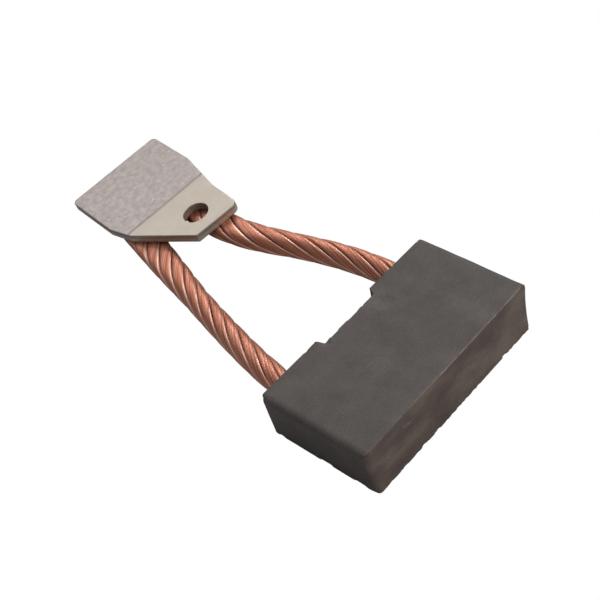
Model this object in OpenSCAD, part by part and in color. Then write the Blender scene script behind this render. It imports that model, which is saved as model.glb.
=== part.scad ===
// Carbon brush of a heavy starter motor: a pressed copper-graphite block, two stranded copper leads
// moulded into its back, and one tinned terminal plate that both leads are pressed and welded under.
// The origin is the middle of the block's underside. +Y runs from the contact face to the leads.

/* [Block] */
// Width of the block, along the commutator bars
block_w = 46.4; // [42:0.1:56]
// Height of the block, from the upper contact edge to the lead face
block_h = 23.5; // [20:0.1:30]
// Thickness of the block, round the commutator
block_t = 11.1; // [10:0.1:14]
// Radius of the block's four standing corners
corner_r = 1.2; // [0.6:0.1:2]
// Radius of the upper edges at the block's two ends
top_end_r = 1.5; // [0.4:0.1:2]
// Radius of the lower edges at the block's two ends
low_end_r = 0.9; // [0.4:0.1:1.4]
// Radius of the lead face's upper and lower edges
lead_face_r = 0.4; // [0.2:0.1:0.8]
// How much each end leans in from its top to its foot
end_draft = 0.8; // [0:0.1:1]

/* [Contact face] */
// Radius of the commutator that the face has worn to
comm_r = 50; // [30:1:80]
// How much further out the lower contact edge lies than the upper one
contact_slant = 0.8; // [0:0.1:1.4]
// Radius that rounds the left end of the contact face
contact_left_r = 1.5; // [0.4:0.1:2.5]
// Radius that rounds the right end of the contact face
contact_right_r = 0.4; // [0.2:0.1:2.5]

/* [Spring groove] */
// Width of the groove at the lead face
groove_w = 15.6; // [12:0.1:18]
// Depth of the groove
groove_depth = 1.7; // [1:0.1:2.6]
// How far the groove lies from the block's middle
groove_shift = -0.4; // [-1:0.1:1]
// How much each flank of the groove leans in
groove_lean = 0.9; // [0:0.1:1.2]
// Radius in the groove's inner corners
groove_r = 0.5; // [0.2:0.1:0.8]

/* [Leads] */
// Distance between the two leads at the block
lead_pitch = 32; // [28:0.5:34]
// Diameter of a lead over its outer strands
lead_d = 5.1; // [4.2:0.1:5.4]
// Length along a lead in which its strands go once round
lay = 36; // [28:0.5:44]
// Depth to which a lead is moulded into the block
socket_depth = 9; // [6:0.5:10]
// Width of a lead where it is pressed flat under the plate
weld_w = 7.2; // [6:0.1:8]
// Thickness of a lead where it is pressed flat
weld_t = 1.7; // [1.5:0.1:2]
// Distance between the pressed ends of the two leads
weld_pitch = 9.2; // [8.6:0.1:10]
// How far the pressed ends stop short of the plate's back edge
weld_inset = 1.5; // [0.5:0.5:4]

/* [Terminal plate] */
// Thickness of the plate
plate_t = 1.9; // [1.5:0.1:2.6]
// Width of the plate's body
plate_w = 23.9; // [22:0.1:26]
// Distance from the hole to the plate's back edge
plate_back = 30.3; // [28:0.1:34]
// Distance from the hole to the nose
plate_nose = 6.1; // [5.5:0.1:7.5]
// How far the body's middle lies to the left of the hole
plate_shift = 2.1; // [1.5:0.1:3]
// Width of the nose
nose_w = 11.2; // [10.5:0.1:13]
// How far the nose's middle lies to the right of the hole
nose_shift = 1.5; // [1:0.1:2]
// How much further forward the nose's right corner lies than its left one
nose_skew = 0.3; // [0:0.1:1]
// Radius of the nose's right corner
nose_r = 1.8; // [0.6:0.1:3]
// Radius of the nose's left corner
nose_left_r = 0.3; // [0.1:0.1:0.6]
// How much the nose widens on its right before the taper starts
nose_flare = 0.4; // [0:0.1:0.8]
// Distance behind the hole at which the right side starts to spread
taper_start = 3.6; // [2:0.1:5]
// Distance behind the hole at which the right side reaches the full width
taper_end = 16.4; // [12:0.1:20]
// Distance behind the hole of the front kink on the left
shoulder_front = 7.8; // [6:0.1:9]
// Distance behind the hole of the rear kink on the left
shoulder_back = 14.3; // [11:0.1:18]
// How far the front kink lies inside the body's left side
shoulder_in = 1.5; // [0.5:0.1:3]
// Radius of the two kinks
shoulder_r = 3; // [1:0.5:5]
// Radius of the two back corners
back_r = 1.2; // [0.3:0.1:2]
// Diameter of the terminal hole
hole_d = 5.5; // [4.3:0.1:6.5]
// Depth of the area pressed down over the weld
press_depth = 0.15; // [0.05:0.05:0.4]
// Distance behind the hole at which the pressed area starts
press_front = 8.4; // [6:0.1:12]

/* [Hidden] */

graphite = [0.31, 0.28, 0.27];
copper = [0.6, 0.38, 0.3];
tin = [0.72, 0.68, 0.65];

seat_gap = 0.03;        // clearance where pieces seat on one another
strand_gap = 0.05;      // clearance between two strands
overcut = 1;            // how far a cutting solid runs past the face it cuts
arc_steps = 6;          // straight pieces in a rounded corner
round_fn = 96;          // facets of true circles

// Where the hole's upper rim has its centre, and how the plate is tilted there
hole_at = [7.8, 59.6, 7.22];
plate_tilt = [-4.5, -7, -8];
left_side = -1;
right_side = 1;

// ---- Small geometry helpers ----

function unit(v) = v / norm(v);
function mix(a, b, k) = a * (1 - k) + b * k;
function smooth(t) = let (c = max(0, min(1, t))) c * c * (3 - 2 * c);
function flat(p) = [p[0], p[1]];

// Arc that rounds corner b between its neighbours a and c, or b itself when r is 0
function corner(a, b, c, r) = r == 0 ? [b] :
    let (u = unit(a - b), v = unit(c - b),
         half = acos(u * v) / 2,
         centre = b + unit(u + v) * r / sin(half),
         from = b + u * r / tan(half) - centre,
         to = b + v * r / tan(half) - centre,
         start = atan2(from[1], from[0]),
         turn = (atan2(to[1], to[0]) - start + 540) % 360 - 180)
    [for (i = [0 : arc_steps])
        let (angle = start + turn * i / arc_steps) centre + r * [cos(angle), sin(angle)]];

// Outline through points [x, y, corner radius]
function outline(points) = let (n = len(points))
    [for (i = [0 : n - 1])
        each corner(flat(points[(i + n - 1) % n]), flat(points[i]), flat(points[(i + 1) % n]),
                    points[i][2])];

// ---- Block ----

// Ends of the worn arc, as [y, z]
contact_top = [-block_h / 2, block_t];
contact_low = [-block_h / 2 - contact_slant, 0];
contact_chord = contact_top - contact_low;
comm_reach = sqrt(comm_r * comm_r - contact_chord * contact_chord / 4);
comm_centre = (contact_top + contact_low) / 2
    + unit([-contact_chord[1], contact_chord[0]]) * comm_reach;
block_front = contact_low[0];
block_back = block_h / 2;
lead_z = block_t / 2;

module block_plan() {
    half = block_w / 2;
    mouth = groove_w / 2;
    floor_half = mouth - groove_lean;
    polygon(outline([
        [-half, block_front, 0], [half, block_front, 0],
        [half, block_back, corner_r],
        [groove_shift + mouth, block_back, 0],
        [groove_shift + floor_half, block_back - groove_depth, groove_r],
        [groove_shift - floor_half, block_back - groove_depth, groove_r],
        [groove_shift - mouth, block_back, 0],
        [-half, block_back, corner_r]
    ]));
}

// Section of the block seen along Y, which rounds the long edges at its two ends
module block_end_section() {
    half = block_w / 2;
    polygon(outline([
        [end_draft - half, 0, low_end_r], [half - end_draft, 0, low_end_r],
        [half, block_t, top_end_r], [-half, block_t, top_end_r]
    ]));
}

// Section of the block seen along X, which rounds the edges of the lead face
module block_side_section() {
    polygon(outline([
        [block_front, 0, 0], [block_back, 0, lead_face_r],
        [block_back, block_t, lead_face_r], [block_front, block_t, 0]
    ]));
}

// Quarter round, as [radius, distance along the commutator], that eases one end of the contact face
function flare(r) = [for (i = [0 : arc_steps])
    let (angle = 90 * i / arc_steps)
    [comm_r + r * (1 - cos(angle)), block_w / 2 - r * (1 - sin(angle))]];

// The commutator, widened by its two flares beyond the block's ends, which cuts the contact face
module commutator() {
    reach = block_w / 2 + overcut;
    left = flare(contact_left_r);
    translate([0, comm_centre[0], comm_centre[1]])
    rotate([0, 90, 0])
    rotate_extrude($fn = round_fn)
    polygon(concat(
        [[0, -reach], [comm_r + contact_left_r, -reach]],
        [for (i = [arc_steps : -1 : 0]) [left[i][0], -left[i][1]]],
        flare(contact_right_r),
        [[comm_r + contact_right_r, reach], [0, reach]]
    ));
}

module lead_sockets() {
    for (side = [left_side, right_side])
        translate([side * lead_pitch / 2, block_back + overcut, lead_z])
        rotate([90, 0, 0])
        cylinder(d = lead_d + 2 * seat_gap, h = socket_depth + overcut + seat_gap, $fn = round_fn);
}

// Shallow flakes broken off the upper face beside both corners of the groove
right_flake_at = [-0.5, -2.9];      // from the groove's right inner corner
right_flake_r = 11;
right_flake_depth = 0.2;
left_flake_r = 2.5;
left_flake_depth = 0.25;

module groove_chips() {
    floor_y = block_back - groove_depth;
    floor_half = groove_w / 2 - groove_lean;
    translate([groove_shift + floor_half + right_flake_at[0], floor_y + right_flake_at[1],
               block_t + right_flake_r - right_flake_depth])
        sphere(r = right_flake_r, $fn = round_fn);
    translate([groove_shift - floor_half, floor_y, block_t + left_flake_r - left_flake_depth])
        sphere(r = left_flake_r, $fn = round_fn);
}

module carbon_block() {
    color(graphite)
    difference() {
        intersection() {
            linear_extrude(block_t) block_plan();
            translate([0, block_back + overcut, 0]) rotate([90, 0, 0])
                linear_extrude(block_back - block_front + 2 * overcut) block_end_section();
            translate([-block_w / 2 - overcut, 0, 0]) rotate([90, 0, 90])
                linear_extrude(block_w + 2 * overcut) block_side_section();
        }
        commutator();
        lead_sockets();
        groove_chips();
    }
}

// ---- Terminal plate, drawn flat with the hole's upper rim at its origin and the nose at -Y ----

body_left = -plate_shift - plate_w / 2;
body_right = -plate_shift + plate_w / 2;
nose_left = nose_shift - nose_w / 2;
nose_right = nose_shift + nose_w / 2;

module place_plate() {
    translate(hole_at) rotate(plate_tilt) children();
}

// The same placing as a function, for points in the plate's own frame
function turn_x(p, a) = [p[0], p[1] * cos(a) - p[2] * sin(a), p[1] * sin(a) + p[2] * cos(a)];
function turn_y(p, a) = [p[0] * cos(a) + p[2] * sin(a), p[1], p[2] * cos(a) - p[0] * sin(a)];
function turn_z(p, a) = [p[0] * cos(a) - p[1] * sin(a), p[0] * sin(a) + p[1] * cos(a), p[2]];
function tilted(p) = turn_z(turn_y(turn_x(p, plate_tilt[0]), plate_tilt[1]), plate_tilt[2]);
function on_plate(p) = hole_at + tilted(p);
plate_up = tilted([0, 0, 1]);

module plate_outline() {
    polygon(outline([
        [body_left, plate_back, back_r],
        [body_left, shoulder_back, shoulder_r],
        [body_left + shoulder_in, shoulder_front, shoulder_r],
        [nose_left, -plate_nose + nose_skew, nose_left_r],
        [nose_right, -plate_nose, nose_r],
        [nose_right + nose_flare, taper_start, 0],
        [body_right, taper_end, 0],
        [body_right, plate_back, back_r]
    ]));
}

module terminal_plate() {
    color(tin)
    place_plate()
    difference() {
        translate([0, 0, -plate_t]) linear_extrude(plate_t) plate_outline();
        translate([body_left - overcut, press_front, -press_depth])
            cube([plate_w + 2 * overcut, plate_back, plate_t]);
        translate([0, 0, -plate_t - overcut])
            cylinder(d = hole_d, h = plate_t + 2 * overcut, $fn = round_fn);
    }
}

// ---- Leads: six strands laid right-handed round a core, round in the open and flat under the plate ----

outer_strands = 6;
strand_sides = 8;
rings_per_lay = 18;
tangent_reach = 1;          // how far along the lead its direction is taken from
lay_angle = atan(2 * PI * lead_d / 3 / lay);
// Strands touch side by side round a circle of this radius
strand_circle = lead_d / (2 + 2 * sin(180 / outer_strands) * cos(lay_angle));
strand_d = lead_d - 2 * strand_circle;
core_d = 2 * strand_circle - strand_d;

// How stiffly each lead leaves the block and meets the plate, as the two arms of its curve
left_arms = [8.8, 21];
right_arms = [23.6, 18.3];
// Where each lead first touches the plate, measured from the hole
left_weld_start = [-10.2, 7.1];
right_weld_start = [2.1, 2];
// How long before and after that point each lead takes to become flat
left_flattening = [24, 13];
right_flattening = [26, 14];

socket_pieces = 4;          // straight pieces of a lead's axis in its socket,
open_pieces = 24;           // across the open span
weld_pieces = 12;           // and under the plate

weld_end_y = plate_back - weld_inset;
left_weld_end = [-plate_shift - weld_pitch / 2, weld_end_y];
right_weld_end = [-plate_shift + weld_pitch / 2, weld_end_y];

// How flat a lead is, from 0 to 1, at a distance past its first touch with the plate
function flatness(past, span) = smooth((past + span[0]) / (span[0] + span[1]));
function height_factor(k) = mix(1, weld_t / lead_d, k);
// The strands spread sideways before the lead loses much height
function width_factor(k) = mix(1, weld_w / lead_d, sqrt(k));

// A lead's axis under the plate, seated against the plate's underside
function weld_point(p, k) =
    on_plate([p[0], p[1], -plate_t - seat_gap - height_factor(k) * lead_d / 2]);

function bezier(p, t) = p[0] * pow(1 - t, 3) + p[1] * 3 * t * pow(1 - t, 2)
    + p[2] * 3 * t * t * (1 - t) + p[3] * pow(t, 3);

// Points down the middle of a lead: through the socket, across the open span, then under the plate
function lead_axis(side, arms, from, to, span) =
    let (mouth = [side * lead_pitch / 2, block_back, lead_z],
         under = norm(to - from),
         weld = [for (i = [0 : weld_pieces])
             let (k = i / weld_pieces)
             weld_point(mix(from, to, k), flatness(under * k, span))],
         heading = unit(weld[1] - weld[0]),
         curve = [mouth, mouth + [0, arms[0], 0], weld[0] - heading * arms[1], weld[0]])
    concat(
        [for (i = [0 : socket_pieces - 1]) mouth - [0, socket_depth * (1 - i / socket_pieces), 0]],
        [for (i = [0 : open_pieces]) bezier(curve, i / open_pieces)],
        [for (i = [1 : weld_pieces]) weld[i]]
    );

// Distance travelled at each point of a path
function travelled(path) =
    [for (i = 0, s = 0; i < len(path);
          s = s + norm(path[min(i + 1, len(path) - 1)] - path[i]), i = i + 1) s];

// A path as three tables, from which a point at any distance is looked up
function tables(path) = let (s = travelled(path))
    [for (axis = [0 : 2]) [for (i = [0 : len(path) - 1]) [s[i], path[i][axis]]]];
function point_at(t, s) = [lookup(s, t[0]), lookup(s, t[1]), lookup(s, t[2])];

// Presses a point of the round section flat, towards a slab with rounded sides
function squash(p, k) = let (power = 2 + 2 * k,
         reach = norm(p),
         fill = pow(pow(abs(p[0]) / reach, power) + pow(abs(p[1]) / reach, power), -1 / power))
    [p[0] * fill * width_factor(k), p[1] * fill * height_factor(k)];

// One ring of a strand whose own section has the given radii and lies off the lead's axis
function ring(t, s, k, off, angle, radial, tangential) =
    let (centre = point_at(t, s),
         along = unit(point_at(t, s + tangent_reach) - point_at(t, s - tangent_reach)),
         across = unit(cross(along, mix([0, 0, 1], plate_up, k))),
         up = cross(across, along),
         out = [cos(angle), sin(angle)],
         sideways = [-sin(angle), cos(angle)])
    [for (j = [0 : strand_sides - 1])
        let (a = 360 * j / strand_sides,
             p = squash(out * (off + radial * cos(a)) + sideways * tangential * sin(a), k))
        centre + across * p[0] + up * p[1]];

module tube(rings) {
    n = strand_sides;
    last = len(rings) - 1;
    polyhedron(
        points = [for (r = rings) each r],
        faces = concat(
            [[for (j = [n - 1 : -1 : 0]) j]],
            [for (i = [0 : last - 1], j = [0 : n - 1])
                let (a = i * n + j, b = i * n + (j + 1) % n) [a, b, b + n]],
            [for (i = [0 : last - 1], j = [0 : n - 1])
                let (a = i * n + j, b = i * n + (j + 1) % n) [a, b + n, a + n]],
            [[for (j = [0 : n - 1]) last * n + j]]
        )
    );
}

// Everything about one lead that its strands share
function lead(side) = side == left_side
    ? [lead_axis(side, left_arms, left_weld_start, left_weld_end, left_flattening),
       norm(left_weld_end - left_weld_start), left_flattening]
    : [lead_axis(side, right_arms, right_weld_start, right_weld_end, right_flattening),
       norm(right_weld_end - right_weld_start), right_flattening];

// A strand of one lead; number 0 is the core
module strand(side, number) {
    parts = lead(side);
    t = tables(parts[0]);
    full = travelled(parts[0])[len(parts[0]) - 1];
    steps = ceil(full / lay * rings_per_lay);
    off = number == 0 ? 0 : strand_circle;
    own_d = (number == 0 ? core_d : strand_d) - strand_gap;
    stretch = number == 0 ? 1 : 1 / cos(lay_angle);
    color(copper)
    tube([for (i = [0 : steps])
        let (s = full * i / steps,
             k = flatness(s - full + parts[1], parts[2]),
             angle = 360 * (number / outer_strands - s / lay))
        ring(t, s, k, off, angle, own_d / 2, own_d / 2 * stretch)]);
}

carbon_block();
terminal_plate();
strand(left_side, 0);  // left_lead_core
strand(left_side, 1);  // left_lead_strand_1
strand(left_side, 2);  // left_lead_strand_2
strand(left_side, 3);  // left_lead_strand_3
strand(left_side, 4);  // left_lead_strand_4
strand(left_side, 5);  // left_lead_strand_5
strand(left_side, 6);  // left_lead_strand_6
strand(right_side, 0);  // right_lead_core
strand(right_side, 1);  // right_lead_strand_1
strand(right_side, 2);  // right_lead_strand_2
strand(right_side, 3);  // right_lead_strand_3
strand(right_side, 4);  // right_lead_strand_4
strand(right_side, 5);  // right_lead_strand_5
strand(right_side, 6);  // right_lead_strand_6
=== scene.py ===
# %% [markdown]
# # Carbon brush with stranded leads
#
# A brush from a heavy starter motor: a pressed copper-graphite block that rubs on the commutator,
# two ropes of fine copper wire moulded into its back, and one tinned plate that bolts them down.
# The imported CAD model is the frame. Every piece here is built in that frame, over its CAD node.

# %% Load the frame
import bpy
import math
import numpy as np
from mathutils import Matrix, Vector


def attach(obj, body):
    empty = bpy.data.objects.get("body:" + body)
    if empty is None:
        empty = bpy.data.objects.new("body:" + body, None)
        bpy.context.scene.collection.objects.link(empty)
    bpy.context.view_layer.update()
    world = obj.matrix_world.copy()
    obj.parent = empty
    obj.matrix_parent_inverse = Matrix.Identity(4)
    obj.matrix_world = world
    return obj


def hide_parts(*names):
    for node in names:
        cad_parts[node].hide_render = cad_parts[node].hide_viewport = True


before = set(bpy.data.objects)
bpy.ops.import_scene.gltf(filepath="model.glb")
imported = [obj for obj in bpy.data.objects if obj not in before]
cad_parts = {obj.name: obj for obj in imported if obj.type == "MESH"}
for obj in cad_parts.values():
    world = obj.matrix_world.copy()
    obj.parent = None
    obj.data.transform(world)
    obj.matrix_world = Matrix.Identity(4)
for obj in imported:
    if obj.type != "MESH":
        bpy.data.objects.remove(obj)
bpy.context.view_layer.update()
MM = 0.001
bpy.context.scene.view_settings.view_transform = "Standard"
print("CAD nodes:", len(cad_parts))

# %% [markdown]
# ## Helpers
#
# All shapes are worked out in millimetres as numpy arrays and turned into metres once, when the mesh
# is made. Random wear comes from one seeded table, so every run gives the same brush.

# %% Numbers and noise


def unit(v):
    """The vector divided by its own length."""
    return v / np.linalg.norm(v, axis=-1, keepdims=True)


def mix(a, b, k):
    """a where k is 0, b where k is 1, and a straight blend between."""
    return a * (1 - k) + b * k


def smooth(t):
    """The S-curve 3t^2 - 2t^3, held at 0 and 1 outside."""
    t = np.clip(t, 0, 1)
    return t * t * (3 - 2 * t)


NOISE_CELLS = 64
NOISE_TABLE = np.random.default_rng(5).random((NOISE_CELLS,) * 3)


def noise(p, size):
    """Random height from -1 to 1 that changes over about size mm: the table's values at the eight
    corners of a cell, blended with the S-curve along each axis."""
    q = np.asarray(p, float) / size
    cell = np.floor(q).astype(int)
    f = smooth(q - cell)
    total = 0
    for dx in (0, 1):
        for dy in (0, 1):
            for dz in (0, 1):
                w = (mix(1 - f[..., 0], f[..., 0], dx) * mix(1 - f[..., 1], f[..., 1], dy)
                     * mix(1 - f[..., 2], f[..., 2], dz))
                index = (cell + [dx, dy, dz]) % NOISE_CELLS
                total = total + w * NOISE_TABLE[index[..., 0], index[..., 1], index[..., 2]]
    return 2 * total - 1


def noise_along(s, size, seed):
    """The same noise along one line, with a different line for each seed."""
    s = np.asarray(s, float)
    return noise(np.stack([s, 0 * s + 7.3 * seed, 0 * s + 3.1 * seed], -1), size)


# %% Mesh makers


def grid_faces(rows, cols, wrap_rows=False, wrap_cols=False):
    """Quads of a grid of rows x cols points, joined round where it wraps."""
    i = np.arange(rows if wrap_rows else rows - 1)[:, None]
    j = np.arange(cols if wrap_cols else cols - 1)[None, :]
    i2, j2 = (i + 1) % rows, (j + 1) % cols
    return np.stack([i * cols + j, i * cols + j2, i2 * cols + j2, i2 * cols + j], -1).reshape(-1, 4)


def add_piece(name, points, faces, material, caps=(), sharp=None, attributes=None):
    """Makes a closed mesh from points in mm, puts it on the frame and gives it its material."""
    mesh = bpy.data.meshes.new(name)
    mesh.from_pydata((np.asarray(points).reshape(-1, 3) * MM).tolist(), [],
                     np.asarray(faces).tolist() + [list(map(int, c)) for c in caps])
    mesh.validate()
    for key, values in (attributes or {}).items():
        values = np.asarray(values, np.float32)
        kind = "FLOAT_VECTOR" if values.ndim == 2 else "FLOAT"
        layer = mesh.attributes.new(key, kind, "POINT")
        layer.data.foreach_set("vector" if values.ndim == 2 else "value", values.ravel())
    mesh.shade_smooth()
    if sharp:
        mesh.set_sharp_from_angle(angle=math.radians(sharp))
    mesh.materials.append(material)
    piece = bpy.data.objects.new(name, mesh)
    bpy.context.scene.collection.objects.link(piece)
    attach(piece, "root")
    return piece


# %% [markdown]
# ## Camera
#
# A long lens from the front left, 45 degrees up. It could stand level, but it is rolled here, so world-up
# leans to the left and the block's long edges climb steeply to the right.

# %% Camera
CAMERA_AT = Vector((-0.09852, -0.10196, 0.16758))
CAMERA_ALONG = Vector((0.4370, 0.5551, -0.7077)).normalized()
CAMERA_ROLL = math.radians(14.65)

level_right = CAMERA_ALONG.cross(Vector((0, 0, 1))).normalized()
level_up = level_right.cross(CAMERA_ALONG)
right = level_right * math.cos(CAMERA_ROLL) - level_up * math.sin(CAMERA_ROLL)
up = level_up * math.cos(CAMERA_ROLL) + level_right * math.sin(CAMERA_ROLL)
turn = Matrix((right, up, -CAMERA_ALONG)).transposed().to_4x4()

camera = bpy.data.objects.new("camera", bpy.data.cameras.new("camera"))
camera.matrix_world = Matrix.Translation(CAMERA_AT) @ turn
camera.data.lens = 72
camera.data.sensor_width = 36
camera.data.clip_start = 0.01
bpy.context.scene.collection.objects.link(camera)
bpy.context.scene.camera = camera
print("camera lens:", camera.data.lens, "mm")

# %% [markdown]
# ## Studio
#
# A white sweep that the camera sees as plain white, and soft boxes: a large one over the front right,
# which lights the top and the contact face, one at the back right and a weak one behind, so the left end stays
# dark.

# %% Floor, sky and lights


def nodes_of(owner):
    """Clears the node tree and gives a short way to add nodes and links to it."""
    owner.use_nodes = True
    tree = owner.node_tree
    tree.nodes.clear()

    def add(kind, inputs=None, **settings):
        node = tree.nodes.new(kind)
        for key, value in settings.items():
            setattr(node, key, value)
        for key, value in (inputs or {}).items():
            if isinstance(value, bpy.types.NodeSocket):
                tree.links.new(value, node.inputs[key])
            else:
                node.inputs[key].default_value = value
        return node

    return add


def seen_white(add, other):
    """White light where the camera looks straight at it, and the other shader for every other ray."""
    rays = add("ShaderNodeLightPath")
    kind = "ShaderNodeBackground" if other.bl_idname == "ShaderNodeBackground" else "ShaderNodeEmission"
    white = add(kind, {"Color": (1, 1, 1, 1), "Strength": 1.0})
    return add("ShaderNodeMixShader", {0: rays.outputs["Is Camera Ray"], 1: other.outputs[0],
                                       2: white.outputs[0]})


SKY_STRENGTH = 0.26
FLOOR_GREY = 0.5
world = bpy.data.worlds.new("studio")
bpy.context.scene.world = world
add = nodes_of(world)
sky = add("ShaderNodeBackground", {"Color": (1.0, 1.0, 1.0, 1), "Strength": SKY_STRENGTH})
add("ShaderNodeOutputWorld", {"Surface": seen_white(add, sky).outputs[0]})

floor_material = bpy.data.materials.new("floor")
add = nodes_of(floor_material)
paper = add("ShaderNodeBsdfDiffuse", {"Color": (FLOOR_GREY, FLOOR_GREY, FLOOR_GREY, 1)})
add("ShaderNodeOutputMaterial", {"Surface": seen_white(add, paper).outputs[0]})

floor_mesh = bpy.data.meshes.new("floor")
FLOOR_HALF = 1.5        # metres
FLOOR_BELOW = 0.00005   # metres under the object, so the two don't share a plane
floor_corners = [(x * FLOOR_HALF, y * FLOOR_HALF, -FLOOR_BELOW)
                 for x, y in ((-1, -1), (1, -1), (1, 1), (-1, 1))]
floor_mesh.from_pydata(floor_corners, [], [(0, 1, 2, 3)])
floor_mesh.materials.append(floor_material)
floor = bpy.data.objects.new("floor", floor_mesh)
bpy.context.scene.collection.objects.link(floor)


def soft_box(name, at, target, size, power):
    """A square area light at a point, turned to face the target."""
    light = bpy.data.lights.new(name, "AREA")
    light.shape, light.size, light.energy = "SQUARE", size, power
    box = bpy.data.objects.new(name, light)
    box.location = at
    box.rotation_euler = (Vector(target) - Vector(at)).to_track_quat("-Z", "Y").to_euler()
    bpy.context.scene.collection.objects.link(box)
    print("soft box", name, power, "W")


MIDDLE = (0, 0.035, 0.005)
BOX_SIZE = 0.30
soft_box("key", (0.25, -0.30, 0.45), MIDDLE, BOX_SIZE, 2.0)
soft_box("side", (0.40, 0.35, 0.35), MIDDLE, BOX_SIZE, 1.2)
soft_box("back", (0.05, 0.50, 0.40), MIDDLE, BOX_SIZE, 0.5)

# %% [markdown]
# ## Materials
#
# Each is a small network on object coordinates (in metres) or on attributes that the mesh carries.

# %% Shader helpers


def material(name):
    """A new material, with its node tree and the adder."""
    m = bpy.data.materials.new(name)
    add = nodes_of(m)
    return m, add


def ramp(add, value, stops):
    """A colour or grey ramp through (position, colour) stops."""
    node = add("ShaderNodeValToRGB", {"Fac": value})
    elements = node.color_ramp.elements
    while len(elements) < len(stops):
        elements.new(0.5)
    for element, (position, colour) in zip(elements, stops):
        element.position = position
        element.color = (*colour, 1) if isinstance(colour, tuple) else (colour, colour, colour, 1)
    return node.outputs["Color"]


def texture(add, vector, scale, detail=3.0, stretch=None, rough=0.5):
    """Noise at a number of cells per unit, stretched along axes if asked."""
    if stretch:
        vector = add("ShaderNodeVectorMath", {0: vector, 1: stretch}, operation="MULTIPLY").outputs[0]
    return add("ShaderNodeTexNoise", {"Vector": vector, "Scale": scale, "Detail": detail,
                                      "Roughness": rough}).outputs[0]


def blend_colour(add, factor, a, b, blend="MIX"):
    """Two colours mixed by a factor."""
    node = add("ShaderNodeMix", {"Factor": factor, "A": a, "B": b}, data_type="RGBA", blend_type=blend)
    return node.outputs["Result"]


def maths(add, operation, a, b=0.0):
    """One Math node."""
    return add("ShaderNodeMath", {0: a, 1: b}, operation=operation).outputs[0]


# %% [markdown]
# ### Copper-graphite
#
# Dark grey with a brown cast, because copper powder is pressed in with the graphite. The rubbing face is
# browner and blotchy. A thin light line along part of the worn front top edge is a painted highlight. The mesh
# carries two weights: "contact" on the rubbing face, and one along that worn edge that places the painted
# highlight.

# %% Graphite


def graphite_material():
    """Mottled dark stone with fine grain, scratches, pits and worn edges, and a painted highlight along the
    front top edge.
    """
    m, add = material("copper_graphite")
    place = add("ShaderNodeTexCoord").outputs["Object"]
    contact = add("ShaderNodeAttribute", attribute_name="contact").outputs["Fac"]
    worn_edge_highlight = add("ShaderNodeAttribute", attribute_name="worn_edge_highlight").outputs["Fac"]
    cloud = texture(add, place, 140, 5, rough=0.6)
    grain = texture(add, place, 3500, 3, rough=0.7)
    body = ramp(add, cloud, [(0.30, (0.066, 0.056, 0.052)), (0.52, (0.082, 0.069, 0.064)),
                             (0.75, (0.098, 0.083, 0.077))])
    rubbed_and_highlight = ramp(add, texture(add, place, 90, 4, stretch=(1, 1, 2)),
                  [(0.32, (0.075, 0.052, 0.045)), (0.50, (0.110, 0.080, 0.066)),
                   (0.68, (0.165, 0.128, 0.102))])
    colour = blend_colour(add, contact, body, rubbed_and_highlight)
    speck = ramp(add, grain, [(0.30, 0.72), (0.5, 1.0), (0.72, 1.22)])
    colour = blend_colour(add, 1.0, colour, speck, "MULTIPLY")
    # Scratches: thin crests of noise drawn out along one direction
    lines = texture(add, place, 55, 3, stretch=(1.0, 12.0, 3.0))
    crest = ramp(add, lines, [(0.492, 0.0), (0.5, 1.0), (0.508, 0.0)])
    patch = ramp(add, texture(add, place, 120, 2), [(0.55, 0.0), (0.68, 1.0)])
    scratch = maths(add, "MULTIPLY", crest, maths(add, "MULTIPLY", patch, 0.35))
    colour = blend_colour(add, scratch, colour, (0.30, 0.26, 0.24, 1))
    # Painted highlight: a light line along the worn front top edge
    colour = blend_colour(add, maths(add, "MULTIPLY", worn_edge_highlight, 0.8), colour, (0.50, 0.43, 0.39, 1))
    height = maths(add, "ADD", maths(add, "MULTIPLY", grain, 0.6), maths(add, "MULTIPLY", scratch, -0.8))
    bump = add("ShaderNodeBump", {"Height": height, "Strength": 0.35, "Distance": 0.00012})
    rough = ramp(add, cloud, [(0.3, 0.66), (0.7, 0.56)])
    shader = add("ShaderNodeBsdfPrincipled", {"Base Color": colour, "Roughness": rough, "Metallic": 0.0,
                                              "Normal": bump.outputs[0], "IOR": 1.45})
    add("ShaderNodeOutputMaterial", {"Surface": shader.outputs[0]})
    return m


GRAPHITE = graphite_material()
print("material:", GRAPHITE.name)

# %% [markdown]
# ### Bare copper wire
#
# A strand is a bunch of fine wires, and the mesh has a ridge for each. It carries "wire", which counts the
# wires round the strand and the millimetres along it, so each wire takes its own tone from its number.

# %% Copper


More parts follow.
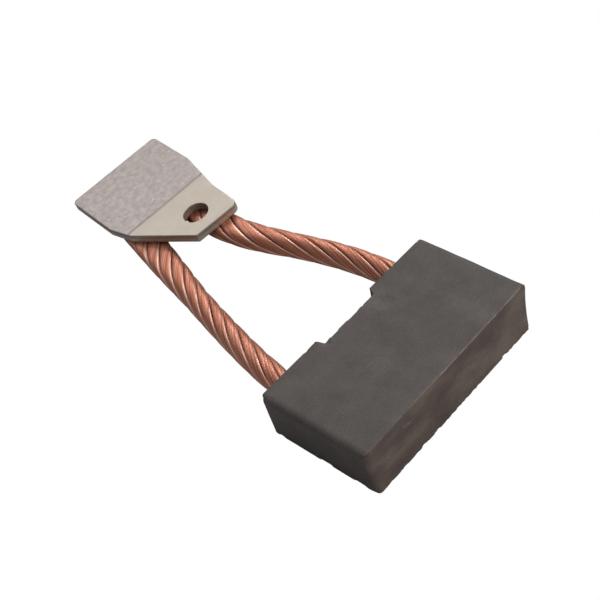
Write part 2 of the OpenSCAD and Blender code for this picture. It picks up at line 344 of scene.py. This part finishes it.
def copper_material():
    """Each wire has its own tone; painted shade makes the valleys between wires and each strand's side towards
    the core darker and redder, and one shoulder of each strand carries a painted highlight line.
    """
    m, add = material("copper_wire")
    wire = add("ShaderNodeAttribute", attribute_name="wire").outputs["Vector"]
    depth = add("ShaderNodeAttribute", attribute_name="depth").outputs["Fac"]
    painted_highlight = add("ShaderNodeAttribute", attribute_name="painted_highlight").outputs["Fac"]
    parts = add("ShaderNodeSeparateXYZ", {0: wire})
    number = maths(add, "FLOOR", parts.outputs[0])
    tone = add("ShaderNodeTexWhiteNoise", {"W": number}, noise_dimensions="1D").outputs["Value"]
    along = texture(add, wire, 1.0, 3, stretch=(0.9, 0.22, 1.0))
    value = maths(add, "ADD", maths(add, "MULTIPLY", tone, 0.45), maths(add, "MULTIPLY", along, 0.55))
    colour = ramp(add, value, [(0.22, (0.36, 0.125, 0.075)), (0.45, (0.56, 0.215, 0.135)),
                               (0.62, (0.70, 0.30, 0.20)), (0.80, (0.86, 0.46, 0.34))])
    # Painted shade: dark red in the valleys between wires and on each strand's side towards the core
    colour = blend_colour(add, depth, (0.20, 0.055, 0.03, 1), colour)
    # Painted highlight: a pale line along one shoulder of each strand, broken up by the noise along the wires
    rubbed_and_highlight = maths(add, "MULTIPLY", painted_highlight, ramp(add, along, [(0.36, 0.25), (0.56, 1.0)]))
    colour = blend_colour(add, rubbed_and_highlight, colour, (0.95, 0.66, 0.54, 1))
    fine = texture(add, wire, 3.0, 2, stretch=(2.0, 0.3, 1.0))
    bump = add("ShaderNodeBump", {"Height": fine, "Strength": 0.25, "Distance": 0.00006})
    rough = ramp(add, along, [(0.3, 0.52), (0.7, 0.42)])
    shader = add("ShaderNodeBsdfPrincipled", {"Base Color": colour, "Roughness": rough, "Metallic": 0.85,
                                              "Normal": bump.outputs[0]})
    add("ShaderNodeOutputMaterial", {"Surface": shader.outputs[0]})
    return m


COPPER = copper_material()
print("material:", COPPER.name)

# %% [markdown]
# ### Tinned plate
#
# The front of the plate is smooth and warm grey. The back was pressed over the weld: it is greyer, pinkish
# and mottled, with small pale dimples. The edge shows a burnished band over a torn one, as blanked sheet does;
# painted shade and painted reflection make the burnished band and the hole's wall darker, and the torn band is
# lighter.
# "flat" is the place in the plate's own frame in mm, and "edge" how far down its side.

# %% Tin


def tin_material(press_front):
    """Dull tin, mottled behind the press line."""
    m, add = material("tinned_plate")
    flat = add("ShaderNodeAttribute", attribute_name="flat").outputs["Vector"]
    edge = add("ShaderNodeAttribute", attribute_name="edge").outputs["Fac"]
    where = add("ShaderNodeSeparateXYZ", {0: flat})
    pressed = add("ShaderNodeMapRange", {"Value": where.outputs[1], "From Min": press_front - 0.1,
                                         "From Max": press_front + 0.35}).outputs[0]
    cloud = texture(add, flat, 0.16, 5, rough=0.6)
    mottle = texture(add, flat, 0.7, 6, rough=0.65)
    fine = texture(add, flat, 6.0, 3)
    smooth_tin = ramp(add, cloud, [(0.3, (0.50, 0.44, 0.375)), (0.7, (0.56, 0.50, 0.43))])
    rough_tin = ramp(add, mottle, [(0.28, (0.36, 0.315, 0.295)), (0.5, (0.44, 0.385, 0.365)),
                                   (0.72, (0.52, 0.465, 0.445))])
    colour = blend_colour(add, pressed, smooth_tin, rough_tin)
    cells = add("ShaderNodeTexVoronoi", {"Vector": flat, "Scale": 0.75, "Randomness": 1.0})
    dimple = ramp(add, cells.outputs["Distance"], [(0.10, 1.0), (0.22, 0.0)])
    few = ramp(add, cells.outputs["Color"], [(0.62, 0.0), (0.66, 1.0)])
    dimple = maths(add, "MULTIPLY", maths(add, "MULTIPLY", dimple, few), pressed)
    colour = blend_colour(add, maths(add, "MULTIPLY", dimple, 0.55), colour, (0.74, 0.71, 0.68, 1))
    # Down the side: painted shade and painted reflection darken the burnished band and the hole's wall; the torn
    # band below is lighter
    side = ramp(add, edge, [(0.0, (1.0, 1.0, 1.0)), (0.08, (0.55, 0.53, 0.52)), (0.42, (0.62, 0.60, 0.58)),
                            (0.50, (0.95, 0.92, 0.90)), (1.0, (0.85, 0.80, 0.78))])
    colour = blend_colour(add, 1.0, colour, side, "MULTIPLY")
    height = maths(add, "ADD", maths(add, "MULTIPLY", maths(add, "MULTIPLY", mottle, pressed), 0.8),
                   maths(add, "MULTIPLY", fine, 0.15))
    height = maths(add, "SUBTRACT", height, maths(add, "MULTIPLY", dimple, 0.3))
    bump = add("ShaderNodeBump", {"Height": height, "Strength": 0.3, "Distance": 0.0002})
    rough = ramp(add, mottle, [(0.3, 0.5), (0.7, 0.38)])
    shader = add("ShaderNodeBsdfPrincipled", {"Base Color": colour, "Roughness": rough, "Metallic": 0.6,
                                              "Normal": bump.outputs[0]})
    add("ShaderNodeOutputMaterial", {"Surface": shader.outputs[0]})
    return m


# %% [markdown]
# ## The terminal plate
#
# A blanked sheet with a hole, so its surface is one band wound round the hole: out over the top from the
# hole's rim to the outline, down the side, back under the bottom and up the hole's wall. Rows follow that
# band and columns go round the outline.

# %% Plate sizes, in mm
PLATE_T = 1.9
PLATE_LEFT, PLATE_RIGHT, PLATE_BACK = -14.05, 9.85, 30.3
NOSE_LEFT, NOSE_RIGHT, NOSE_FRONT = -4.1, 7.1, -6.1
NOSE_SKEW, NOSE_FLARE = 0.3, 0.4
NOSE_LEFT_R, NOSE_RIGHT_R, BACK_R = 0.3, 1.8, 1.2
SHOULDER_BACK, SHOULDER_FRONT, SHOULDER_IN, SHOULDER_R = 14.3, 7.8, 1.5, 3.0
TAPER_START, TAPER_END, TAPER_R = 3.6, 16.4, 0.5
PRESS_FRONT, PRESS_DEPTH = 8.4, 0.15
HOLE_R = 2.75
HOLE_AT = np.array([7.8, 59.6, 7.22])
PLATE_TILT = (-4.5, -7, -8)

ax, ay, az = (math.radians(a) for a in PLATE_TILT)
PLATE_TURN = np.array(Matrix.Rotation(az, 3, "Z") @ Matrix.Rotation(ay, 3, "Y") @ Matrix.Rotation(ax, 3, "X"))
PLATE_UP = PLATE_TURN[:, 2]


def on_plate(p):
    """A point of the plate's own frame, in the object's frame: hole + turn x point."""
    return HOLE_AT + np.asarray(p) @ PLATE_TURN.T


def rounded_outline(corners, arc_steps=10):
    """Closed outline through [x, y, radius] corners: each corner is replaced by an arc that touches both
    sides at radius / tan(half angle) from the corner."""
    c = np.array(corners, float)
    points = []
    for a, b, d in zip(np.roll(c, 1, 0), c, np.roll(c, -1, 0)):
        if b[2] == 0:
            points.append(b[None, :2])
            continue
        u, v = unit(a[:2] - b[:2]), unit(d[:2] - b[:2])
        half = math.acos(np.clip(u @ v, -1, 1)) / 2
        centre = b[:2] + unit(u + v) * b[2] / math.sin(half)
        ends = [b[:2] + w * b[2] / math.tan(half) - centre for w in (u, v)]
        start = math.atan2(ends[0][1], ends[0][0])
        sweep = (math.atan2(ends[1][1], ends[1][0]) - start + 3 * math.pi) % (2 * math.pi) - math.pi
        angle = start + sweep * np.linspace(0, 1, arc_steps)
        points.append(centre + b[2] * np.stack([np.cos(angle), np.sin(angle)], 1))
    return np.concatenate(points)


def resample(loop, count):
    """The closed loop as count points at even distances round it."""
    closed = np.vstack([loop, loop[:1]])
    s = np.r_[0, np.cumsum(np.linalg.norm(np.diff(closed, axis=0), axis=1))]
    at = np.linspace(0, s[-1], count, endpoint=False)
    return np.stack([np.interp(at, s, closed[:, i]) for i in (0, 1)], 1)


# %% Plate outline
OUTLINE_POINTS = 640
outline = resample(rounded_outline([
    [PLATE_LEFT, PLATE_BACK, BACK_R], [PLATE_LEFT, SHOULDER_BACK, SHOULDER_R],
    [PLATE_LEFT + SHOULDER_IN, SHOULDER_FRONT, SHOULDER_R],
    [NOSE_LEFT, NOSE_FRONT + NOSE_SKEW, NOSE_LEFT_R], [NOSE_RIGHT, NOSE_FRONT, NOSE_RIGHT_R],
    [NOSE_RIGHT + NOSE_FLARE, TAPER_START, TAPER_R], [PLATE_RIGHT, TAPER_END, TAPER_R],
    [PLATE_RIGHT, PLATE_BACK, BACK_R]]), OUTLINE_POINTS)
tangent = unit(np.roll(outline, -1, 0) - np.roll(outline, 1, 0))
outward = np.stack([tangent[:, 1], -tangent[:, 0]], 1)
rim = unit(outline)
print("plate outline:", len(outline), "points")

# %% Plate mesh
DIE_ROLL = 0.22         # radius that blanking leaves on the upper edge
BURR = 0.05             # how far the lower edge is set in
DENTS = ((3.2, 0.03), (1.1, 0.012))     # size and height of the unevenness that pressing left
EDGE_WANDER = 0.04      # how much the cut edge wavers
# The band: (share of the way from rim to outline, inset from the outline, depth, how far down the edge)
bend = np.linspace(0, np.pi / 2, 5)
band = [(t, DIE_ROLL, 0.0, 0.0) for t in np.linspace(0, 1, 60)]
band += [(1, DIE_ROLL * (1 - math.sin(a)), DIE_ROLL * (1 - math.cos(a)), 0.08 * a) for a in bend[1:]]
band += [(1, 0.0, d, d / PLATE_T) for d in np.linspace(0.4, PLATE_T - BURR, 6)]
band += [(t, BURR, PLATE_T, t) for t in np.linspace(1, 0, 24)]
band += [(0, 0.0, d, 0.3) for d in np.linspace(PLATE_T - 0.15, 0.12, 6)]
band = np.array(band)
share, inset, depth, edge = (band[:, i][:, None, None] for i in range(4))

far = outline - outward * inset
near = rim * np.where((share == 0) & (depth > 0) & (depth < PLATE_T), HOLE_R, HOLE_R + 0.1)
flat = mix(near, far, share)
flat = np.concatenate([flat, np.broadcast_to(-depth, flat.shape[:2] + (1,))], -1)
top = smooth(1 - depth[..., 0] / 0.4)
press = smooth((flat[..., 1] - PRESS_FRONT) / 0.9)
dents = sum(noise(flat, size) * height for size, height in DENTS)
flat[..., 2] -= top * (press * (PRESS_DEPTH + np.maximum(dents, -0.1)))
wander = noise(flat, 2.5)[..., None] * EDGE_WANDER * smooth(share)
flat[..., :2] -= outward * np.abs(wander)

plate = add_piece("plate", on_plate(flat), grid_faces(len(band), len(outline), True, True),
                  tin_material(PRESS_FRONT), sharp=45,
                  attributes={"flat": flat.reshape(-1, 3),
                              "edge": np.broadcast_to(edge, flat.shape[:2] + (1,)).reshape(-1)})
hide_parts("terminal_plate")
print("plate:", len(plate.data.polygons), "quads")

# %% [markdown]
# ## The leads
#
# Each lead is a rope: six strands laid right-handed round a core. Its axis comes straight out of the block,
# swings across on one smooth curve, and meets the plate's underside, where the rope was pressed flat.
# Neighbouring strands press on each other, so a strand's section is a rounded wedge, not a circle.

# %% Lead sizes, in mm
BLOCK_BACK, LEAD_Z = 11.75, 5.55
LEAD_PITCH, LEAD_D, LAY = 32, 5.1, 36.0
SOCKET_DEPTH = 9
WELD_W, WELD_T, WELD_PITCH, WELD_END = 7.2, 1.7, 9.2, 28.8
SEAT_GAP = 0.03
PLATE_MIDDLE = -2.1
STRANDS = 6
WIRES = 44              # ridges round one strand
POINTS_PER_WIRE = 3
# For each lead: its side, the two arms of its curve, where it first touches the plate, and how long
# before and after that point it takes to become flat
LEADS = {
    "left": (-1, (8.8, 21.0), (-10.2, 7.1), (24, 13)),
    "right": (1, (23.6, 18.3), (2.1, 2.0), (26, 14)),
}


def lead_axis(side, arms, touch, flattening, count):
    """Points down the lead's middle, evenly spaced, how flat it is at each, and the distance along it.
    The open span is a cubic: p0 (1-t)^3 + 3 p1 t (1-t)^2 + 3 p2 t^2 (1-t) + p3 t^3."""
    touch = np.array(touch, float)
    end = np.array([PLATE_MIDDLE + side * WELD_PITCH / 2, WELD_END])
    under = np.linalg.norm(end - touch)
    before, after = flattening

    k = np.linspace(0, 1, 60)[:, None]
    flatness = smooth((under * k + before) / (before + after))
    half_height = mix(LEAD_D, WELD_T, flatness) / 2
    weld = on_plate(np.hstack([mix(touch, end, k), -PLATE_T - SEAT_GAP - half_height]))
    mouth = np.array([side * LEAD_PITCH / 2, BLOCK_BACK, LEAD_Z])
    heading = unit(weld[5] - weld[0])
    p = [mouth, mouth + [0, arms[0], 0], weld[0] - heading * arms[1], weld[0]]
    t = np.linspace(0, 1, 160)[:, None]
    span = p[0] * (1 - t) ** 3 + 3 * p[1] * t * (1 - t) ** 2 + 3 * p[2] * t * t * (1 - t) + p[3] * t ** 3
    path = np.vstack([mouth - [0, SOCKET_DEPTH, 0], span, weld[1:]])
    s = np.r_[0, np.cumsum(np.linalg.norm(np.diff(path, axis=0), axis=1))]
    at = np.linspace(0, s[-1], count)
    axis = np.stack([np.interp(at, s, path[:, i]) for i in range(3)], 1)
    return axis, smooth((at - s[-1] + under + before) / (before + after)), at


def lead_frames(axis, flatness, reach=5):
    """Directions along, across and up at each point: across is level in the open and lies in the plate
    under it."""
    padded = np.vstack([axis[:1].repeat(reach, 0), axis, axis[-1:].repeat(reach, 0)])
    along = unit(padded[2 * reach:] - padded[:-2 * reach])
    across = unit(np.cross(along, mix(np.array([0, 0, 1.0]), PLATE_UP, flatness[:, None])))
    return across, np.cross(across, along)


def press_flat(x, y, k):
    """Takes the round section towards a slab with rounded sides: directions stay, and the radius grows to
    that of |x|^n + |y|^n = 1 with n = 2 + 2k, before width and height are scaled."""
    n = 2 + 2 * k
    reach = np.hypot(x, y) + 1e-9
    fill = (np.abs(x / reach) ** n + np.abs(y / reach) ** n) ** (-1 / n)
    return x * fill * mix(1, WELD_W / LEAD_D, np.sqrt(k)), y * fill * mix(1, WELD_T / LEAD_D, k)


WEDGE_CORNER = 3.8      # 2 is an oval, more squares the wedge's corners
STRAND_FILL = 0.985     # share of its sixth of the circle that a strand fills
WIRE_RIDGE = 0.030
WIRE_TURN = -0.20       # turns of the wires about their strand for each turn of the strand
CORE_R = 0.84
SWELL, SWELL_LENGTH = 0.03, 7.0     # how much a strand's thickness changes, and over how many mm
SWAY, SWAY_LENGTH = 0.05, 9.0       # how far a strand wanders sideways, in radians
SHOULDER = math.radians(-48)        # where round its strand the painted highlight line runs
SHOULDER_WIDTH = 0.16               # and its half width, in radians


def strand(name, lead, number):
    """One strand as a twisted tube: rows along the lead, columns round the strand, three to each wire, so
    the ridges follow the columns. Wire height is |sin(pi x column / 3)|. The section is a superellipse,
    (|cos|^n + |sin|^n)^(-1/n), laid over one sixth of the ring between the core and the outside."""
    axis, flatness, s = lead
    across, up = lead_frames(axis, flatness)
    rows, cols = len(axis), WIRES * POINTS_PER_WIRE
    j = np.arange(cols)[None, :]
    turn = 2 * np.pi * (number / STRANDS - s / LAY)[:, None]
    seed = number + (10 if name.startswith("right") else 0)
    own = 2 * np.pi * (j / cols + WIRE_TURN * s[:, None] / LAY)
    # Ridges of single wires, and slow swelling of the whole strand
    wire_height = np.abs(np.sin(np.pi * j / POINTS_PER_WIRE))
    wire_size = 0.7 + 0.6 * noise_along(np.floor(j / POINTS_PER_WIRE) * 1.37 + 0 * s[:, None], 1.0, seed)
    swell = 1 + SWELL * noise_along(s, SWELL_LENGTH, seed)[:, None]
    ridge = WIRE_RIDGE * (wire_height - 1) * wire_size
    n = WEDGE_CORNER
    c, d = np.cos(own), np.sin(own)
    fill = (np.abs(c) ** n + np.abs(d) ** n) ** (-1 / n)
    if number == 0:
        radius = (CORE_R - 0.05 + ridge)
        x, y = radius * c, radius * d
    else:
        middle, half = (LEAD_D / 2 + CORE_R) / 2, (LEAD_D / 2 - CORE_R) / 2
        radial = middle + (half * swell * fill + ridge) * c
        spread = np.pi / STRANDS * (STRAND_FILL * swell * fill + ridge / half) * d
        spread = spread + SWAY * noise_along(s, SWAY_LENGTH, seed + 40)[:, None]
        x, y = radial * np.cos(turn + spread), radial * np.sin(turn + spread)
    x, y = press_flat(x, y, flatness[:, None])
    points = axis[:, None] + across[:, None] * x[..., None] + up[:, None] * y[..., None]
    points[..., 2] = np.maximum(points[..., 2], 0.002)
    wire = np.stack([j / POINTS_PER_WIRE + 0 * s[:, None], s[:, None] + 0 * j,
                     np.full((rows, cols), 31.0 * seed)], -1)
    # Painted highlight: a narrow band round one shoulder of each outer strand, fading where the lead is pressed
    # flat
    shoulder = np.angle(np.exp(1j * (own - SHOULDER)))
    painted_highlight = np.exp(-(shoulder / SHOULDER_WIDTH) ** 2) * smooth(1.2 - 1.2 * flatness[:, None]) * (number > 0)
    # Painted shade, read by the material as "depth": low in the valleys between wires and on the strand's side
    # towards the core
    crest = np.broadcast_to(0.25 + 0.75 * wire_height, (rows, cols)) * smooth(
        1.25 - np.abs(np.angle(np.exp(1j * own))) / np.pi * (1 if number else 0))
    piece = add_piece(name + "_wires", points, grid_faces(rows, cols, False, True), COPPER,
                      caps=[np.arange(cols)[::-1], np.arange(cols) + (rows - 1) * cols], sharp=50,
                      attributes={"wire": wire.reshape(-1, 3), "depth": crest.reshape(-1),
                                  "painted_highlight": painted_highlight.reshape(-1)})
    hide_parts(name)


# %% Lead meshes
LEAD_ROWS = 190
for side_name, (side, arms, touch, flattening) in LEADS.items():
    lead = lead_axis(side, arms, touch, flattening, LEAD_ROWS)
    strand(f"{side_name}_lead_core", lead, 0)
    for number in range(1, STRANDS + 1):
        strand(f"{side_name}_lead_strand_{number}", lead, number)
    print(side_name, "lead:", round(float(lead[2][-1]), 1), "mm from socket to weld")

# %% [markdown]
# ## The block
#
# A box of quads, closer together near the edges, is bent into the pressed block: the front is worn to the
# commutator's radius, the back has the spring groove, and the ends lean in. Every edge is rounded by its
# own radius, and where wear or chips have taken it, that radius varies along the edge.

# %% Block sizes, in mm
BLOCK_HALF, BOX_HALF, BLOCK_T = 23.2, 23.08, 11.1
FRONT_TOP, FRONT_LOW = -11.75, -12.55
COMM_R = 50
GROOVE_HALF, GROOVE_DEPTH, GROOVE_AT, GROOVE_LEAN = 7.8, 1.7, -0.4, 0.9
END_DRAFT = 0.8
CORNER_R, FRONT_LEFT_R, FRONT_RIGHT_R = 1.2, 1.5, 0.4
TOP_END_R, LOW_END_R, LEAD_FACE_R = 1.5, 0.9, 0.4
FLAKES = ((6.0, 7.15, 11, 0.2), (-7.3, 10.05, 2.5, 0.25))     # middle x, middle y, radius, depth


def stations(low, high, coarse, fine, marks, grow=0.22):
    """Places from low to high, fine mm apart at the marks and up to coarse mm apart away from them: the
    running total of 1 / spacing is read off at whole numbers."""
    x = np.linspace(low, high, 6000)
    gap = np.min([np.abs(x - m) for m in marks], axis=0)
    count = np.r_[0, np.cumsum(1 / np.minimum(coarse, fine + grow * gap)[1:])] * (x[1] - x[0])
    return np.interp(np.linspace(0, count[-1], math.ceil(count[-1]) + 1), count, x)


def box_shell(xs, ys, zs):
    """Points and quads of the surface of a lattice: six grids whose shared border points are merged."""
    sides, quads, start = [], [], 0
    sizes = (len(xs), len(ys), len(zs))
    for axis in range(3):
        u, v = (axis + 1) % 3, (axis + 2) % 3
        for end in (0, sizes[axis] - 1):
            index = np.zeros((sizes[u], sizes[v], 3), int)
            index[..., axis] = end
            index[..., u] = np.arange(sizes[u])[:, None]
            index[..., v] = np.arange(sizes[v])[None, :]
            faces = grid_faces(sizes[u], sizes[v]) + start
            quads.append(faces[:, ::-1] if end else faces)
            sides.append(index.reshape(-1, 3))
            start += sizes[u] * sizes[v]
    index, merged = np.unique(np.concatenate(sides), axis=0, return_inverse=True)
    points = np.stack([xs[index[:, 0]], ys[index[:, 1]], zs[index[:, 2]]], 1)
    return points, merged.reshape(-1)[np.concatenate(quads)][:, ::-1]


def round_pair(a, b, r):
    """Rounds the edge where distances a and b from two faces are both small: the square corner of side r
    is pulled onto circles, (r-a, r-b) x max / hypot. Returns how much a and b grow."""
    alpha, beta = np.clip(r - a, 0, None), np.clip(r - b, 0, None)
    big, both = np.maximum(alpha, beta), np.hypot(alpha, beta)
    scale = np.where(both > 1e-9, big / np.maximum(both, 1e-9), 1)
    near = (a < r) & (b < r)
    return np.where(near, alpha * (1 - scale), 0), np.where(near, beta * (1 - scale), 0)


def front_of(z):
    """Front face: the arc of the commutator through the upper and lower contact edges."""
    top, low = np.array([FRONT_TOP, BLOCK_T]), np.array([FRONT_LOW, 0])
    chord = top - low
    centre = (top + low) / 2 + unit(np.array([-chord[1], chord[0]])) * math.sqrt(COMM_R ** 2 - chord @ chord / 4)
    return centre[0] + np.sqrt(COMM_R ** 2 - (z - centre[1]) ** 2)


def back_of(x):
    """Back face: flat, with the groove's leaning flanks."""
    depth = np.clip((GROOVE_HALF - np.abs(x - GROOVE_AT)) / GROOVE_LEAN, 0, 1)
    return BLOCK_BACK - GROOVE_DEPTH * mix(depth, smooth(depth), 0.4)


def chips(s, seed, size, share, height):
    """Chips along an edge: how far each bites, where the noise along it passes a level."""
    return height * smooth((noise_along(s, size, seed) - share) / 0.5)


# %% Block lattice
COARSE, FINE, FINE_X = 0.32, 0.05, 0.09
flanks = [GROOVE_AT + k * d for k in (-1, 1) for d in (GROOVE_HALF, GROOVE_HALF - GROOVE_LEAN)]
p, quads = box_shell(
    stations(-BLOCK_HALF, BLOCK_HALF, COARSE, FINE_X, [-BLOCK_HALF, BLOCK_HALF] + flanks),
    stations(FRONT_TOP, BLOCK_BACK, COARSE, FINE, [FRONT_TOP, BLOCK_BACK]),
    stations(0, BLOCK_T, COARSE, FINE, [0, BLOCK_T]))
x, y, z = p.T
along_y = (y - FRONT_TOP) / (BLOCK_BACK - FRONT_TOP)
is_front = smooth(1 - along_y * 40)
y = y + (front_of(z) - FRONT_TOP) * (1 - along_y) + (back_of(x) - BLOCK_BACK) * along_y
end_half = BLOCK_HALF - END_DRAFT * (1 - z / BLOCK_T)
x = x * end_half / BLOCK_HALF
side = np.sign(x)
in_groove = smooth((GROOVE_HALF + 0.2 - np.abs(x - GROOVE_AT)) / 0.4)
print("block lattice:", len(quads), "quads")

# %% [markdown]
# ### Rounding the edges
#
# Pressing leaves the block's edges round, and handling chips them. A bevel could round them, but with one
# radius all along. Here each point near an edge is pulled onto a circle whose radius depends on the place,
# so a chip is only a stretch of larger radius. The order is plan corners, end edges, long edges.

# %% Plan corners and end edges
for r, distance, direction in (
        (np.full_like(x, CORNER_R), lambda: back_of(x) - y, -1),
        (np.where(x < 0, FRONT_LEFT_R, FRONT_RIGHT_R), lambda: y - front_of(z), 1)):
    da, db = round_pair(end_half - np.abs(x), distance(), r)
    x, y = x - side * da, y + direction * db
for r, distance, direction in (
        (TOP_END_R + 0.1 * noise_along(y, 3, 1), lambda: BLOCK_T - z, -1),
        (LOW_END_R + chips(y, 2, 1.6, 0.2, 0.5), lambda: z, 1)):
    da, db = round_pair(end_half - np.abs(x), distance(), r)
    x, z = x - side * da, z + direction * db

# %% Long edges, and the painted highlight on the worn front top edge
worn_edge_highlight = np.zeros_like(x)
front_top = 0.16 + chips(x, 3, 1.3, 0.15, 0.35) * smooth((x + 8) / -6)
front_low = 0.18 + chips(x, 4, 1.1, 0.1, 0.55) + chips(x, 5, 0.5, 0.2, 0.2)
back_r = mix(LEAD_FACE_R + chips(x, 6, 1.2, 0.2, 0.3), 0.12 + chips(x, 7, 0.8, 0.1, 0.3), in_groove)
for r, from_y, y_way, from_z, z_way in (
        (front_top, lambda: y - front_of(z), 1, lambda: BLOCK_T - z, -1),
        (front_low, lambda: y - front_of(z), 1, lambda: z, 1),
        (back_r, lambda: back_of(x) - y, -1, lambda: BLOCK_T - z, -1),
        (back_r, lambda: back_of(x) - y, -1, lambda: z, 1)):
    a, b = from_y(), from_z()
    da, db = round_pair(a, b, r)
    if r is front_top:
        # Painted highlight: a light line on the rounding of the front top edge, on its right part only
        bright = smooth((x + 4) / 3) * smooth((22 - x) / 2) * (0.55 + 0.45 * noise_along(x, 0.7, 9))
        worn_edge_highlight = np.maximum(worn_edge_highlight, smooth(1.15 - np.hypot(a, b) / 0.11) * bright)
    y, z = y + y_way * da, z + z_way * db

# %% [markdown]
# ### Flakes
#
# Two shallow flakes have broken off the top beside the groove. Each is a shallow bowl, depth - r^2 / (2 R),
# and every face gets the slight unevenness of pressed powder. Edges that touch the box stay inside it.

# %% Flakes and unevenness
on_top = z > BLOCK_T - 0.3
for fx, fy, fr, fd in FLAKES:
    gap = np.hypot(x - fx, y - fy)
    bite = np.clip(fd - gap ** 2 / (2 * fr) + 0.05 * noise(np.stack([x, y, z], 1), 0.7), 0, None)
    z = np.where(on_top, z - bite, z)
p = np.stack([x, y, z], 1)
shift = np.stack([noise(p + 50 * i, 2.2) for i in range(3)], 1) * 0.02
p = p + shift * smooth(p[:, 2:] / 0.6) * smooth((BLOCK_T - p[:, 2:]) / 0.2 + 0.5)
p = np.clip(p, [-BOX_HALF, FRONT_LOW, 0], [BOX_HALF, BLOCK_BACK, BLOCK_T])

block = add_piece("block", p, quads, GRAPHITE, sharp=60,
                  attributes={"contact": is_front, "worn_edge_highlight": worn_edge_highlight})
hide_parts("carbon_block")

# %% [markdown]
# The leads sit in round sockets, so two cylinders are cut out of the block's back.

# %% Sockets
SOCKET_SIDES = 64
for side, *_ in LEADS.values():
    angle = np.linspace(0, 2 * np.pi, SOCKET_SIDES, endpoint=False)
    ring = np.stack([side * LEAD_PITCH / 2 + (LEAD_D / 2 + SEAT_GAP) * np.cos(angle),
                     0 * angle, LEAD_Z + (LEAD_D / 2 + SEAT_GAP) * np.sin(angle)], 1)
    ends = [ring + [0, BLOCK_BACK - SOCKET_DEPTH - SEAT_GAP, 0], ring + [0, BLOCK_BACK + 1, 0]]
    mesh = bpy.data.meshes.new("cutter")
    caps = [list(range(SOCKET_SIDES)), list(range(2 * SOCKET_SIDES - 1, SOCKET_SIDES - 1, -1))]
    mesh.from_pydata((np.concatenate(ends) * MM).tolist(), [],
                     grid_faces(2, SOCKET_SIDES, False, True)[:, ::-1].tolist() + caps)
    cutter = bpy.data.objects.new("cutter", mesh)
    bpy.context.scene.collection.objects.link(cutter)
    cut = block.modifiers.new("socket", "BOOLEAN")
    cut.object, cut.operation, cut.solver = cutter, "DIFFERENCE", "EXACT"
    bpy.context.view_layer.update()
    result = bpy.data.meshes.new_from_object(block.evaluated_get(bpy.context.evaluated_depsgraph_get()))
    block.modifiers.clear()
    block.data = result
    bpy.data.objects.remove(cutter)
print("block:", len(block.data.polygons), "faces")
